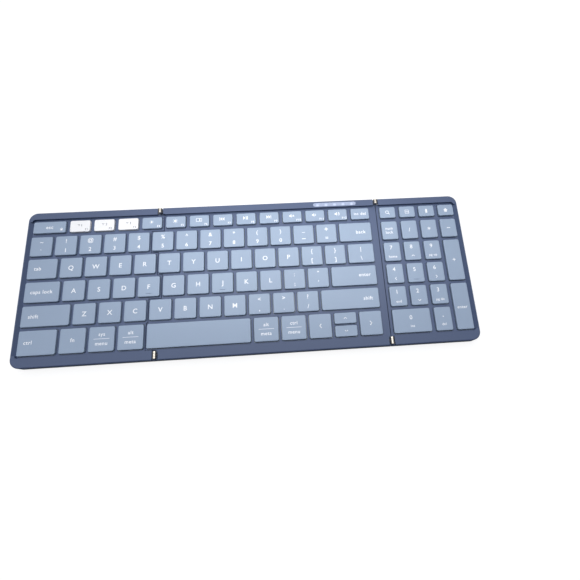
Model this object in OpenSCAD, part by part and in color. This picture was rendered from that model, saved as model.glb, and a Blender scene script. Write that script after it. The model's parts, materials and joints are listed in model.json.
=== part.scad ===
// Full-size keyboard that folds in three.
// The left and right panels swing up and over onto the centre panel, key side to key side.
// X runs along the key rows, Y towards the back edge and Z up. All sizes are in millimetres.
// The origin is at the middle of the open keyboard, on the surface that its feet stand on.

/* [Key grid] */
// Distance from one letter key to the next, along a row and from row to row
key_pitch = 19; // [18.6:0.1:19.4]
// Gap between neighbouring key caps, along a row
key_gap = 2.4; // [2.4:0.1:3]
// Gap between the caps of neighbouring rows
row_gap = 2.7; // [2.6:0.1:3]
// Gap between the caps of the short back row, along the row
top_row_gap = 3.2; // [3:0.1:4]
// Length of the short back-row caps, front to back
top_row_len = 10; // [9.5:0.1:11]
// Gap between the back row and the number row
top_row_front_gap = 3.3; // [2.6:0.1:4]
// Length of the front-row caps, front to back
front_row_len = 18.9; // [17:0.1:19.5]
// Gap between the half-length up and down keys
arrow_gap = 1.5; // [1.5:0.1:2]
// Width of the main key block, in key pitches
block_u = 14.54; // [14.5:0.02:14.6]
// Width of the escape key, in key pitches
esc_u = 1.5; // [1.3:0.05:1.6]
// Width of each function key, in key pitches
function_u = 1.005; // [1:0.005:1.01]
// Width of the tab key, in key pitches
tab_u = 1.3; // [1.1:0.05:1.4]
// Width of the caps lock key, in key pitches
caps_u = 1.5; // [1.3:0.05:1.6]
// Width of the left shift key, in key pitches
shift_u = 2; // [1.8:0.05:2.1]
// Width of the left control key, in key pitches
ctrl_u = 1.58; // [1.4:0.02:1.7]
// Width of each other modifier key, in key pitches
modifier_u = 1.12; // [1.05:0.01:1.18]
// Width of the space bar, in key pitches
space_u = 4.24; // [4:0.02:4.4]
// Distance from one number pad key to the next, along a row
pad_pitch = 16.75; // [16.5:0.05:17.5]
// Gap between number pad keys, along a row
pad_gap = 3.4; // [3:0.1:4]

/* [Key caps] */
// Height of a cap's top face above the resting surface
cap_top_z = 8.7; // [8.6:0.1:8.8]
// Height of a cap, skirt to top face
cap_h = 2.2; // [2:0.1:2.3]
// Thickness of a cap's top
cap_top_t = 1; // [0.8:0.1:1.1]
// Thickness of a cap's skirt
cap_wall = 1.2; // [1:0.1:1.3]
// Corner radius of a cap, seen from above
cap_corner_r = 1.3; // [0.8:0.1:1.6]
// Chamfer round a cap's top face
cap_chamfer = 0.35; // [0.2:0.05:0.5]
// Gap between a cap and its window in the deck
cap_clear = 0.35; // [0.3:0.05:0.4]
// Diameter of the plunger under each cap
plunger_d = 2.4; // [2:0.1:2.6]
// Length of the plunger under each cap
plunger_len = 0.4; // [0.3:0.1:0.5]
// Length of the raised finger bar on the F, J and 5 keys
home_bar_len = 4.5; // [3:0.5:5]
// Width and height of the raised finger bar
home_bar_t = 0.2; // [0.15:0.05:0.3]

/* [Casing] */
// Casing's corner radius, seen from above
corner_r = 7; // [5:0.5:9]
// Distance from the casing's side to the nearest key
side_border = 4; // [4:0.05:6]
// Width of the raised rim along each side
side_rim = 3.25; // [3.2:0.05:3.4]
// Width of the slope from each side rim down to the deck
rim_slope = 2.2; // [1.6:0.1:2.3]
// Width of the raised bezel along the back
back_bezel = 5.8; // [5.6:0.1:7]
// Width of the raised bezel along the front
front_bezel = 7.4; // [6.8:0.1:9]
// Strip of deck between the back bezel and the back row
deck_margin_back = 2.2; // [2:0.1:3]
// Strip of deck between the front row and the front bezel
deck_margin_front = 1.5; // [1:0.1:2.5]
// Width of the left panel, from its outer side to the hinge line
left_panel_w = 104.5; // [103:0.5:105]
// Strip of deck between the main block and the right hinge line
centre_border = 6.1; // [6:0.1:8]
// Strip of deck between the right hinge line and the number pad
pad_border = 2.7; // [2.5:0.1:4]
// Gap between two panels where they meet
seam_gap = 0.5; // [0.4:0.05:0.6]
// Height of the bezels above the resting surface
bezel_z = 9; // [9:0.1:9.6]
// Depth of the key deck below the bezels
deck_drop = 2; // [1.9:0.1:2.1]
// Thickness of the key deck
deck_t = 1.2; // [1:0.1:1.3]
// Thickness of the bezels' top
bezel_t = 1.2; // [1:0.1:1.3]
// Thickness of the casing's outer walls
wall_t = 1.6; // [1.4:0.1:1.8]
// Thickness of the wall between a bezel and the deck
step_wall = 1; // [0.8:0.1:1.2]
// Height of the line where the top frame meets the bottom cover
parting_z = 3; // [2.8:0.1:3.2]
// Thickness of the bottom cover
cover_t = 1; // [0.9:0.1:1.1]
// Rounding of the casing's top edge
top_edge_r = 0.8; // [0.5:0.1:1]
// Rounding of the casing's bottom edge
bottom_edge_r = 1; // [0.5:0.1:1.2]
// Rounding of the deck recess's corners
recess_r = 2; // [1:0.5:3]

/* [Hinges] */
// Diameter of a hinge barrel
barrel_d = 3.6; // [3.2:0.1:3.8]
// Diameter of a hinge pin
pin_d = 1.5; // [1.2:0.1:1.7]
// Running clearance between a pin and a barrel, on the radius
pin_clear = 0.05; // [0.03:0.01:0.08]
// Gap between neighbouring barrel segments
knuckle_gap = 0.2; // [0.15:0.05:0.3]
// Gap between a barrel and the casing round it
barrel_clear = 0.4; // [0.3:0.05:0.5]
// Height of the hinge axis above the bezels
axis_rise = 0.15; // [0.1:0.05:0.3]
// Thickness of a hinge leaf
leaf_t = 0.8; // [0.6:0.05:0.8]
// Reach of a hinge leaf, from the hinge line
leaf_len = 8; // [7:0.5:9]
// Gap over a hinge leaf in its slot
leaf_clear = 0.05; // [0.03:0.01:0.05]
// Length of a barrel's set-back from the casing's front or back face
barrel_inset = 1; // [0.8:0.1:1.2]

/* [Key switches] */
// Travel of a key
key_travel = 1.5; // [1.3:0.1:1.5]
// Thickness of the steel key plate
plate_t = 0.4; // [0.3:0.05:0.4]
// Height of the key plate's underside
plate_z = 4.1; // [4:0.05:4.1]
// Thickness of the contact membrane
membrane_t = 0.3; // [0.2:0.05:0.3]
// Gap round the plate and the membrane inside the casing
plate_clear = 0.3; // [0.2:0.05:0.5]
// Radius of a rubber dome's foot under a full-size key
dome_r = 3.4; // [3:0.1:3.6]
// Thickness of a rubber dome's wall
dome_t = 0.5; // [0.4:0.05:0.6]
// Half length of a scissor arm, along the row
arm_half = 5; // [4.5:0.1:5]
// Distance of the outer scissor arms from the key's middle
arm_y = 5.6; // [5:0.1:5.6]
// Width of a scissor arm
arm_w = 0.6; // [0.5:0.05:0.6]
// Thickness of a scissor arm and of its cross rods
arm_t = 0.7; // [0.6:0.05:0.7]
// Gap between a scissor's upper rods and the cap they carry
rod_clear = 0.05; // [0.03:0.01:0.1]

/* [Fastening and feet] */
// Height of the rubber feet under the casing
foot_h = 0.8; // [0.8:0.1:1]
// Depth of the recess that holds each foot
foot_recess = 0.4; // [0.3:0.05:0.5]
// Length of a foot
foot_len = 22; // [16:1:26]
// Width of a foot
foot_w = 6; // [5:0.5:7]
// Distance of the feet from the casing's front and back faces
foot_inset = 11; // [10:0.5:14]
// Distance of the feet from the casing's sides
foot_side = 9; // [8:0.5:12]
// Distance of the feet from the fold lines
foot_from_fold = 5; // [4:0.5:10]
// Diameter of a cover screw's shank
screw_d = 1.6; // [1.4:0.1:1.6]
// Diameter of a cover screw's head
screw_head_d = 3; // [2.6:0.1:3]
// Height of a cover screw's head
screw_head_h = 0.7; // [0.6:0.05:0.8]
// Radial clearance round a screw
screw_clear = 0.05; // [0.03:0.01:0.08]
// Diameter of the boss that a screw bites into
boss_d = 3.4; // [3.1:0.1:3.6]
// Diameter of a post under the key plate
post_d = 4; // [3:0.5:5]
// Distance of the centre panel's posts from the fold lines
post_from_fold = 14; // [12:0.5:18]

/* [Electronics] */
// Length of the charging socket's shell
usb_len = 7.3; // [7:0.1:7.4]
// Width of the charging socket's shell
usb_w = 8.94; // [8.8:0.02:9]
// Height of the charging socket's shell
usb_h = 3.16; // [3:0.02:3.2]
// Wall of the charging socket's shell
usb_wall = 0.3; // [0.25:0.05:0.35]
// Gap between the socket and its hole in the casing
usb_clear = 0.15; // [0.1:0.05:0.2]
// Distance that the socket's mouth lies inside the casing's back face
usb_inset = 0.3; // [0.1:0.1:0.5]
// Place of the charging socket along the back edge, from the left side
usb_x = 187; // [180:1:200]
// Thickness of the circuit board
board_t = 0.8; // [0.6:0.1:0.8]
// Distance of the circuit board from the left hinge line
board_start = 22; // [18:1:30]
// Length of the circuit board beyond the indicator window
board_end = 2; // [1:0.5:4]
// Depth of the circuit board, front to back
board_depth = 32; // [28:1:34]
// Distance of the battery from the board's left end
battery_start = 18; // [14:1:24]
// Length of the battery
battery_len = 62; // [50:1:70]
// Depth of the battery, front to back
battery_depth = 40; // [30:1:45]
// Thickness of the battery
battery_t = 2.1; // [1.8:0.1:2.1]
// Length of the indicator window
window_len = 36.3; // [30:0.1:40]
// Width of the indicator window
window_w = 3.4; // [3:0.1:3.4]
// Distance from the window's middle to the right hinge line
window_from_fold = 34.9; // [30:0.1:40]
// Number of indicator lights under the window
light_count = 5; // [3:1:6]
// Width of the ribbon cable that crosses each fold
ribbon_w = 9; // [7:0.5:10]
// Thickness of the ribbon cable
ribbon_t = 0.2; // [0.15:0.05:0.3]
// Reach of the ribbon cable into the side panels
ribbon_reach = 15; // [14:1:20]

/* [Hidden] */

$fn = 48;
eps = 0.01;
beyond = 20;

// Rows count from 1 at the back to 6 at the front; 0 and 7 are the bezels.
key_len = key_pitch - row_gap;
function row_len(r) = r == 1 ? top_row_len : r == 6 ? front_row_len : key_len;
function row_back(r) =
    r == 1 ? back_bezel + deck_margin_back :
    r == 2 ? row_back(1) + top_row_len + top_row_front_gap :
    r < 6 ? row_back(2) + (r - 2) * key_pitch :
    row_back(5) + key_len + row_gap;
function row_front(r) = row_back(r) + row_len(r);

// Distances are worked out from the casing's left and back faces first.
hinge_left = left_panel_w;
hinge_right = side_border + block_u * key_pitch - key_gap + centre_border;
pad_left = hinge_right + pad_border;
casing_w = pad_left + 4 * pad_pitch - pad_gap + side_border;
casing_d = row_front(6) + deck_margin_front + front_bezel;
recess_d = casing_d - back_bezel - front_bezel;
function X(x) = x - casing_w / 2;
function Y(y) = casing_d / 2 - y;

// Each key is [left, front, right, back] in model coordinates.
function main_key(r, u, w, gap = key_gap) = [
    X(side_border + u * key_pitch + (gap - key_gap) / 2), Y(row_front(r)),
    X(side_border + (u + w) * key_pitch - (gap + key_gap) / 2), Y(row_back(r))
];
function top_key(u, w) = main_key(1, u, w, top_row_gap);
function function_key(i) = top_key(esc_u + i * function_u, function_u);
function run_of_keys(r, u, count) = [for (i = [0:count - 1]) main_key(r, u + i, 1)];
function pad_key(c, r, cols = 1, rows = 1) = [
    X(pad_left + c * pad_pitch), Y(row_front(r + rows - 1)),
    X(pad_left + (c + cols) * pad_pitch - pad_gap), Y(row_back(r))
];
function pad_block(r0, r1, cols) = [for (r = [r0:r1]) for (c = [0:cols - 1]) pad_key(c, r)];

// Keys on the left panel
left_cols = 4;
esc_and_f4 = [top_key(0, esc_u), function_key(left_cols - 1)];
device = [for (i = [0:left_cols - 2]) function_key(i)];
left_numbers = run_of_keys(2, 0, left_cols + 1);
tab = [main_key(3, 0, tab_u)];
left_upper = run_of_keys(3, tab_u, left_cols);
caps = [main_key(4, 0, caps_u)];
left_home = run_of_keys(4, caps_u, left_cols);
left_shift = [main_key(5, 0, shift_u)];
left_lower = run_of_keys(5, shift_u, left_cols - 1);
left_modifiers = concat(
    [main_key(6, 0, ctrl_u)],
    [for (i = [0:2]) main_key(6, ctrl_u + i * modifier_u, modifier_u)]
);
left_keys = concat(esc_and_f4, device, left_numbers, tab, left_upper, caps, left_home,
    left_shift, left_lower, left_modifiers);

// Keys on the centre panel
number_count = 8;
letter_end = 12;
functions_end = esc_u + (left_cols + number_count) * function_u;
functions = concat(
    [for (i = [0:number_count - 1]) function_key(left_cols + i)],
    [top_key(functions_end, block_u - functions_end)]
);
numbers = run_of_keys(2, left_cols + 1, number_count);
backspace = [main_key(2, letter_end + 1, block_u - letter_end - 1)];
upper = run_of_keys(3, tab_u + left_cols, letter_end - left_cols);
backslash = [main_key(3, tab_u + letter_end, block_u - tab_u - letter_end)];
home_row = run_of_keys(4, caps_u + left_cols, letter_end - left_cols - 1);
enter = [main_key(4, caps_u + letter_end - 1, block_u - caps_u - letter_end + 1)];
lower = run_of_keys(5, shift_u + left_cols - 1, letter_end - left_cols - 1);
right_shift = [main_key(5, shift_u + letter_end - 2, block_u - shift_u - letter_end + 2)];
space_start = ctrl_u + 3 * modifier_u;
space = [main_key(6, space_start, space_u)];
modifier_start = space_start + space_u;
right_modifiers = [
    for (i = [0:1]) main_key(6, modifier_start + i * modifier_u, modifier_u)
];
arrow_start = modifier_start + 2 * modifier_u;
arrow_u = (block_u - arrow_start) / 3;
arrow_len = (front_row_len - arrow_gap) / 2;
middle_arrow = main_key(6, arrow_start + arrow_u, arrow_u);
arrows = [
    main_key(6, arrow_start, arrow_u),
    [middle_arrow[0], middle_arrow[3] - arrow_len, middle_arrow[2], middle_arrow[3]],
    [middle_arrow[0], middle_arrow[1], middle_arrow[2], middle_arrow[1] + arrow_len],
    main_key(6, arrow_start + 2 * arrow_u, arrow_u)
];
centre_keys = concat(functions, numbers, backspace, upper, backslash, home_row, enter,
    lower, right_shift, space, right_modifiers, arrows);

// Keys on the right panel
pad_top = pad_block(1, 2, 4);
pad_digits = pad_block(3, 5, 3);
pad_bottom = [pad_key(0, 6, 2), pad_key(2, 6)];
pad_tall = [pad_key(3, 3, 1, 2), pad_key(3, 5, 1, 2)];
right_keys = concat(pad_top, pad_digits, pad_bottom, pad_tall);

// The left fold runs between the keys of each row, so it steps from row to row.
function seam_u(r) =
    r == 1 ? esc_u + left_cols * function_u :
    r == 2 ? left_cols + 1 :
    r == 3 ? tab_u + left_cols :
    r == 4 ? caps_u + left_cols :
    r == 5 ? shift_u + left_cols - 1 :
    space_start;
function seam_x(r) = r == 0 || r == 7 ? hinge_left : side_border - key_gap / 2 + seam_u(r) * key_pitch;
fold_min = min([for (r = [0:7]) seam_x(r)]);
fold_max = max([for (r = [0:7]) seam_x(r)]);
function band_back(r) =
    r == 0 ? -beyond :
    r == 1 ? back_bezel :
    r == 7 ? casing_d - front_bezel :
    (row_front(r - 1) + row_back(r)) / 2;
function band_front(r) = r == 7 ? casing_d + beyond : band_back(r + 1);
seam_wall = key_gap / 2 - cap_clear - seam_gap / 2;

// Heights
deck_z = bezel_z - deck_drop;
slope_step = 0.1;
deck_under = deck_z - deck_t;
bezel_under = bezel_z - bezel_t;
floor_z = foot_h + cover_t;
membrane_z = plate_z + plate_t;
dome_z = membrane_z + membrane_t;
cap_z = cap_top_z - cap_h;
cap_ceiling = cap_top_z - cap_top_t;
plunger_z = cap_ceiling - plunger_len;
axis_z = bezel_z + axis_rise;

// Hinges
notch_r = barrel_d / 2 + barrel_clear;
notch_z = axis_z - notch_r;
block_margin = 1.5;
block_half = leaf_len + block_margin;
hinge_lines = [hinge_left, hinge_right];
// Each bezel's barrel runs from its first to its second value of y.
back_barrel = [Y(back_bezel - barrel_inset), Y(barrel_inset)];
front_barrel = [Y(casing_d - barrel_inset), Y(casing_d - front_bezel + barrel_inset)];
barrels = [back_barrel, front_barrel];

// Plate field, between the bezels' inner walls
plate_setback = 0.8;
socket_gap = 0.2;
plate_back = max(back_bezel + step_wall + plate_setback, usb_inset + usb_len + socket_gap);
plate_front = casing_d - front_bezel - plate_clear;

// Cover screws sit in the middle of the hollow under each bezel.
back_screw_y = Y((wall_t + back_bezel - step_wall) / 2);
front_screw_y = Y(casing_d - (wall_t + front_bezel - step_wall) / 2);
pad_t = 0.8;
pad_wall = 0.8;
head_sink = 0.25;
screw_bite = 3;
bite_spare = 0.2;
pad_z = floor_z + pad_t;
pad_d = screw_head_d + 2 * pad_wall;
head_z = foot_h + head_sink;
screw_top = pad_z + screw_bite;
corner_screw = corner_r + 3;
hinge_screw = block_half + pad_d / 2 + 0.7;
socket_screw = usb_w + pad_d;
left_screw_x = [X(corner_screw), X(hinge_left - hinge_screw)];
centre_screw_x = [X(hinge_left + hinge_screw), X(usb_x - socket_screw), X(hinge_right - hinge_screw)];
right_screw_x = [X(hinge_right + hinge_screw), X(casing_w - corner_screw)];

// Feet
outer_foot = foot_side + foot_len / 2;
fold_foot = foot_from_fold + foot_len / 2;
left_foot_x = [X(outer_foot), X(fold_min - fold_foot)];
centre_foot_x = [X(fold_max + fold_foot), X(hinge_right - fold_foot)];
right_foot_x = [X(hinge_right + fold_foot), X(casing_w - outer_foot)];
foot_y = [Y(foot_inset), Y(casing_d - foot_inset)];
foot_clear = 0.1;

// Electronics
glue_t = 0.1;
board_z = floor_z + glue_t;
board_back = wall_t + 0.5;
window_x = hinge_right - window_from_fold;
board_x0 = hinge_left + board_start;
board_x1 = window_x + window_len / 2 + board_end;
board_len = board_x1 - board_x0;
board_front = board_back + board_depth;
board_notch_d = pad_d + 0.6;
usb_z = board_z + board_t;
battery_x0 = board_x0 + battery_start;
battery_back = board_front + 6;
battery_z = floor_z + glue_t;
light_h = 0.7;
light_z = usb_z + light_h;
light_gap = 0.1;
light_step = window_len / light_count;
window_gap = 0.05;
ribbon_y = Y((row_back(2) + row_front(2)) / 2);
ribbon_z = parting_z + 0.05;
ribbon_margin = 0.5;
connector_len = 4;
chip = [9, 9, 0.9];
small_chip = [6, 5, 0.8];
ribbon_left_x = [seam_x(2) - ribbon_reach, board_x0 + connector_len];
ribbon_right_x = [board_x1 - connector_len, hinge_right + ribbon_reach];

slate = "#4a5b7a";
cap_blue = "#94a6c0";
steel = "#9aa0a8";

module rounded_rect(w, d, r) {
    square([w - 2 * r, d], center = true);
    square([w, d - 2 * r], center = true);
    for (sx = [-1, 1], sy = [-1, 1])
        translate([sx * (w / 2 - r), sy * (d / 2 - r)]) circle(r);
}

module outline2d(inset = 0) {
    rounded_rect(casing_w - 2 * inset, casing_d - 2 * inset, corner_r - inset);
}

module between_bezels() {
    translate([0, (Y(back_bezel) + Y(casing_d - front_bezel)) / 2]) children();
}

module recess2d() {
    between_bezels() rounded_rect(casing_w - 2 * side_rim, recess_d, recess_r);
}

// The strip from side to side that the deck and the side rims lie in; beyond it the bezels are hollow
module deck_band2d(grow) {
    between_bezels() square([2 * casing_w, recess_d + 2 * grow], center = true);
}

// Everything left of the stepped left fold, moved right by shift and widened by grow
module left_of_fold2d(shift, grow) {
    for (r = [0:7])
        translate([-casing_w, Y(band_front(r)) - grow])
            square([casing_w + X(seam_x(r)) + shift, band_front(r) - band_back(r) + 2 * grow]);
}

// Everything right of the stepped left fold
module right_of_fold2d(shift, grow) {
    for (r = [0:7])
        translate([X(seam_x(r)) + shift, Y(band_front(r)) - grow])
            square([casing_w, band_front(r) - band_back(r) + 2 * grow]);
}

// The part of the plan that one panel takes, drawn in from its folds by inset
module region2d(panel, inset = 0) {
    reach = casing_d + beyond;
    if (panel == "left")
        difference() {
            left_of_fold2d(-seam_gap / 2, 0);
            if (inset > 0) right_of_fold2d(-seam_gap / 2 - inset, inset);
        }
    if (panel == "centre")
        difference() {
            translate([-casing_w, -reach / 2])
                square([casing_w + X(hinge_right) - seam_gap / 2 - inset, reach]);
            left_of_fold2d(seam_gap / 2 + inset, seam_gap + inset);
        }
    if (panel == "right")
        translate([X(hinge_right) + seam_gap / 2 + inset, -reach / 2]) square([casing_w, reach]);
}

module panel2d(panel) {
    intersection() {
        outline2d();
        region2d(panel);
    }
}

module hinge_blocks2d() {
    for (h = hinge_lines) {
        translate([X(h) - block_half, Y(back_bezel)]) square([2 * block_half, back_bezel]);
        translate([X(h) - block_half, Y(casing_d)]) square([2 * block_half, front_bezel]);
    }
}

module cavity2d(panel) {
    difference() {
        intersection() {
            outline2d(wall_t);
            region2d(panel, seam_wall);
        }
        hinge_blocks2d();
    }
}

module at_height(z, h) {
    translate([0, 0, z]) linear_extrude(h) children();
}

// A bar that rounds one long edge of the casing, with the edge along X at the origin
module edge_profile2d(r) {
    difference() {
        translate([-r, -r]) square(r + 1);
        translate([-r, -r]) circle(r);
    }
}

// The ring that rounds the casing's outline at its top or, mirrored, at its bottom
module edge_ring(r) {
    straight_x = casing_w - 2 * corner_r;
    straight_y = casing_d - 2 * corner_r;
    for (side = [0, 180]) rotate([0, 0, side]) {
        translate([0, casing_d / 2, 0]) rotate([90, 0, 90])
            linear_extrude(straight_x, center = true) edge_profile2d(r);
        translate([casing_w / 2, 0, 0]) rotate([90, 0, 0])
            linear_extrude(straight_y, center = true) edge_profile2d(r);
    }
    // Corners in the order back right, back left, front left, front right
    for (i = [0:3]) {
        sx = i == 0 || i == 3 ? 1 : -1;
        sy = i < 2 ? 1 : -1;
        translate([sx * straight_x / 2, sy * straight_y / 2, 0]) rotate([0, 0, 90 * i])
            rotate_extrude(angle = 90) translate([corner_r, 0]) edge_profile2d(r);
    }
}

module key_windows(keys) {
    for (k = keys)
        translate([(k[0] + k[2]) / 2, (k[1] + k[3]) / 2, deck_under - 1])
            linear_extrude(deck_t + 2)
                rounded_rect(k[2] - k[0] + 2 * cap_clear, k[3] - k[1] + 2 * cap_clear,
                    cap_corner_r + cap_clear);
}

// Room for the barrels, and the slots that hold the hinge leaves
module hinge_cuts() {
    for (h = hinge_lines, b = barrels) {
        outward = b[1] > 0 ? [b[0] - barrel_inset, b[1] + 1] : [b[0] - 1, b[1] + barrel_inset];
        translate([X(h) - notch_r, outward[0], notch_z])
            cube([2 * notch_r, outward[1] - outward[0], bezel_z]);
        translate([X(h) - leaf_len - leaf_clear, b[0] - leaf_clear, notch_z])
            cube([2 * (leaf_len + leaf_clear), b[1] - b[0] + 2 * leaf_clear, leaf_t + leaf_clear]);
    }
}

module at_screws(xs) {
    for (x = xs, y = [back_screw_y, front_screw_y]) translate([x, y, 0]) children();
}

module ribbon_slots() {
    for (x = [X(seam_x(2)), X(hinge_right)])
        translate([x, ribbon_y, parting_z + ribbon_t / 2]) cube(
            [6 * seam_wall + seam_gap, ribbon_w + 2 * ribbon_margin, ribbon_t + 2 * ribbon_margin],
            center = true);
}

module charging_hole() {
    w = usb_w + 2 * usb_clear;
    h = usb_h + 2 * usb_clear;
    translate([X(usb_x), Y(-1), usb_z - usb_clear + h / 2]) rotate([90, 0, 0])
        linear_extrude(usb_len + 2) rounded_rect(w, h, h / 2 - eps);
}

// What is cut off the inner side of each side rim, which leaves a slope down to the deck
module rim_slopes() {
    past = 0.3;
    drop = deck_drop - slope_step;
    for (side = [0, 1]) mirror([side, 0, 0])
        translate([casing_w / 2 - side_rim, Y(back_bezel + recess_r), bezel_z]) rotate([90, 0, 0])
            linear_extrude(recess_d - 2 * recess_r)
                polygon([[-past, past], [rim_slope * (1 + past / drop), past], [0, -drop], [-past, -drop]]);
}

module top_frame(panel, keys, screw_x) {
    color(slate) difference() {
        union() {
            difference() {
                at_height(parting_z, bezel_z - parting_z) panel2d(panel);
                at_height(deck_z, deck_drop + 1) recess2d();
                at_height(parting_z - 1, deck_under - parting_z + 1) cavity2d(panel);
                at_height(deck_under - 1, bezel_under - deck_under + 1) difference() {
                    cavity2d(panel);
                    deck_band2d(step_wall);
                }
            }
            at_screws(screw_x)
                translate([0, 0, pad_z]) cylinder(d = boss_d, h = bezel_z - bezel_t / 2 - pad_z);
        }
        key_windows(keys);
        hinge_cuts();
        ribbon_slots();
        at_screws(screw_x) translate([0, 0, pad_z - 1])
            cylinder(r = screw_d / 2 + screw_clear, h = screw_top - pad_z + 1 + bite_spare);
        translate([0, 0, bezel_z]) edge_ring(top_edge_r);
        rim_slopes();
        if (panel == "centre") {
            charging_hole();
            indicator_slot();
        }
    }
}

module indicator_slot() {
    translate([X(window_x), back_screw_y, bezel_under - 1]) linear_extrude(bezel_t + 2)
        rounded_rect(window_len, window_w, window_w / 2 - eps);
}

// Posts that hold the key plate up, kept between the rows and clear of what lies beside them
module plate_posts(xs, ys) {
    for (x = xs, y = ys)
        translate([x, y, floor_z - eps]) cylinder(d = post_d, h = plate_z - floor_z + eps);
}

module foot_shape2d(grow = 0) {
    rounded_rect(foot_len + 2 * grow, foot_w + 2 * grow, foot_w / 2 + grow - eps);
}

module at_feet(xs) {
    for (x = xs, y = foot_y) translate([x, y, 0]) children();
}

module bottom_cover(panel, screw_x, foot_x, post_x, post_y) {
    color(slate) difference() {
        union() {
            difference() {
                at_height(foot_h, parting_z - foot_h) panel2d(panel);
                at_height(floor_z, parting_z) cavity2d(panel);
            }
            plate_posts(post_x, post_y);
            at_screws(screw_x) translate([0, 0, foot_h + eps])
                cylinder(d = pad_d, h = pad_z - foot_h - eps);
        }
        at_screws(screw_x) {
            translate([0, 0, foot_h - 1])
                cylinder(r = screw_head_d / 2 + screw_clear, h = head_z + screw_head_h - foot_h + 1);
            translate([0, 0, foot_h]) cylinder(r = screw_d / 2 + screw_clear, h = pad_z);
        }
        at_feet(foot_x) at_height(foot_h - 1, foot_recess + 1) foot_shape2d(foot_clear);
        translate([0, 0, foot_h]) mirror([0, 0, 1]) edge_ring(bottom_edge_r);
        if (panel == "centre") charging_hole();
    }
}

module feet(xs) {
    color("#2a2f3a") at_feet(xs) at_height(0, foot_h + foot_recess) foot_shape2d();
}

module screws(xs) {
    color(steel) at_screws(xs) {
        difference() {
            translate([0, 0, head_z]) cylinder(d = screw_head_d, h = screw_head_h);
            for (turn = [0, 90]) translate([0, 0, head_z]) rotate([0, 0, turn])
                cube([screw_d, screw_d / 4, screw_head_h], center = true);
        }
        translate([0, 0, head_z + screw_head_h - eps])
            cylinder(d = screw_d, h = screw_top - head_z - screw_head_h + eps);
    }
}

module sheet2d(panel, clear) {
    intersection() {
        outline2d(wall_t + clear);
        region2d(panel, seam_wall + clear);
        translate([-casing_w, Y(plate_front)]) square([2 * casing_w, plate_front - plate_back]);
    }
}

module key_plate(panel) {
    color(steel) at_height(plate_z, plate_t) sheet2d(panel, plate_clear);
}

module membrane(panel) {
    color("#c9d6c4") at_height(membrane_z, membrane_t) sheet2d(panel, 2 * plate_clear);
}

arm_gap = 0.1;
function arm_y_of(k) = min(arm_y, (k[3] - k[1]) / 2 - cap_wall - arm_w / 2 - 2 * arm_gap);
function dome_r_of(k) = min(dome_r, arm_y_of(k) - 1.5 * arm_w - 3 * arm_gap);

// A hollow rubber dome that carries each cap's plunger
module rubber_domes(keys) {
    h = plunger_z - dome_z;
    color("#d8d4cc") for (k = keys) {
        r = dome_r_of(k);
        translate([(k[0] + k[2]) / 2, (k[1] + k[3]) / 2, dome_z]) difference() {
            cylinder(r1 = r, r2 = plunger_d / 2, h = h);
            translate([0, 0, -eps])
                cylinder(r1 = r - dome_t, r2 = plunger_d / 2 - dome_t, h = h - dome_t);
        }
    }
}

// One scissor: two frames that cross at a middle rod
module scissor(half, y_out) {
    low = dome_z + arm_t / 2;
    high = cap_ceiling - rod_clear - arm_t / 2;
    rise = high - low;
    tilt = atan(rise / (2 * half));
    length = 2 * half / cos(tilt);
    translate([0, 0, (low + high) / 2]) {
        for (way = [-1, 1]) {
            y = way > 0 ? y_out : y_out - arm_w - arm_gap;
            rotate([0, way * tilt, 0]) {
                for (sy = [-1, 1])
                    translate([0, sy * y, 0]) cube([length, arm_w, arm_t * 0.8], center = true);
                for (sx = [-1, 1])
                    translate([sx * length / 2, 0, 0]) rotate([90, 0, 0])
                        cylinder(d = arm_t, h = 2 * y + arm_w, center = true);
            }
        }
        for (sy = [-1, 1])
            translate([0, sy * (y_out - arm_w / 2), 0]) rotate([90, 0, 0])
                cylinder(d = arm_t * 0.7, h = 2 * arm_w, center = true);
    }
}

// A key longer than this has room for two scissors, one on each side of its dome.
wide_key = 4 * (arm_half + arm_t / 2 + dome_r);

module scissors(keys) {
    color("#e6e6e6") for (k = keys) {
        w = k[2] - k[0];
        l = k[3] - k[1];
        half = min(arm_half, w / 2 - cap_wall - arm_t);
        xs = w > wide_key ? [-w / 4, w / 4] : [0];
        ys = l > wide_key ? [-l / 4, l / 4] : [0];
        for (x = xs, y = ys)
            translate([(k[0] + k[2]) / 2 + x, (k[1] + k[3]) / 2 + y, 0])
                scissor(half, arm_y_of(k));
    }
}

module chamfer_profile2d(size) {
    h = size / 2;
    polygon([
        [-h, cap_z], [h, cap_z], [h, cap_top_z - cap_chamfer], [h - cap_chamfer, cap_top_z],
        [cap_chamfer - h, cap_top_z], [-h, cap_top_z - cap_chamfer]
    ]);
}

module key_cap(k) {
    w = k[2] - k[0];
    l = k[3] - k[1];
    translate([(k[0] + k[2]) / 2, (k[1] + k[3]) / 2, 0]) {
        difference() {
            intersection() {
                at_height(cap_z, cap_h) rounded_rect(w, l, cap_corner_r);
                rotate([90, 0, 0]) linear_extrude(l, center = true) chamfer_profile2d(w);
                rotate([90, 0, 90]) linear_extrude(w, center = true) chamfer_profile2d(l);
            }
            at_height(cap_z - 1, cap_h - cap_top_t + 1)
                square([w - 2 * cap_wall, l - 2 * cap_wall], center = true);
        }
        translate([0, 0, plunger_z]) cylinder(d = plunger_d, h = plunger_len + eps);
    }
}

module key_caps(keys) {
    color(cap_blue) for (k = keys) key_cap(k);
}

// A raised bar that a finger finds without looking
module home_bar(k) {
    color(cap_blue)
        translate([(k[0] + k[2]) / 2, k[1] + (k[3] - k[1]) * 0.2, cap_top_z])
            cube([home_bar_len, 3 * home_bar_t, 2 * home_bar_t], center = true);
}

// A barrel is cut into three segments: the outer two turn, the middle one stays.
function segments(b) =
    let (len = (b[1] - b[0] - 2 * knuckle_gap) / 3, step = len + knuckle_gap)
    [for (i = [0:2]) [b[0] + i * step, b[0] + i * step + len]];

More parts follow.
